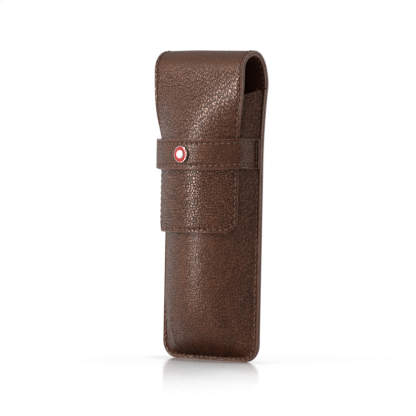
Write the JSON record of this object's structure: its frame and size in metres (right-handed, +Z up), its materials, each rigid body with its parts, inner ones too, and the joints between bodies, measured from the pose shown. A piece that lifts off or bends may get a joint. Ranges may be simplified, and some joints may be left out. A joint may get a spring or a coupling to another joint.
{
  "type": "pen case",
  "caption": "Upright leather pen pouch with a moulded front pocket, an arched fold-over flap tucked under a sewn band, and a domed rivet on the band.",
  "frame": {"origin": "centre of the bottom of the case's box, on the surface that it stands on", "axes": "+Z up along the pens, -Y to the front where the flap, band and rivet are, +X to the viewer's right"},
  "size_m": [0.062, 0.0324, 0.157],
  "materials": {
    "brown_leather": "pebbled grain, satin",
    "lining_leather": "smooth, matte",
    "plated_brass": "polished",
    "red_enamel": "gloss",
    "white_enamel": "gloss"
  },
  "bodies": {
    "pouch": {"back_leather": "brown_leather", "back_lining": "lining_leather", "pocket_leather": "brown_leather", "pocket_lining": "lining_leather", "band_leather": "brown_leather", "band_lining": "lining_leather", "rivet_cup": "plated_brass", "rivet_enamel": "red_enamel", "rivet_dome": "white_enamel", "rivet_washer": "plated_brass"},
    "flap": {"flap_leather": "brown_leather", "flap_lining": "lining_leather"}
  },
  "joints": [
    {"name": "flap_hinge", "type": "hinge", "parent": "pouch", "child": "flap", "pos_m": [0, 0.01547, 0.138], "axis": [-1, 0, 0], "range_deg": [0, 170], "deforming": ["flap_leather", "flap_lining"]}
  ]
}
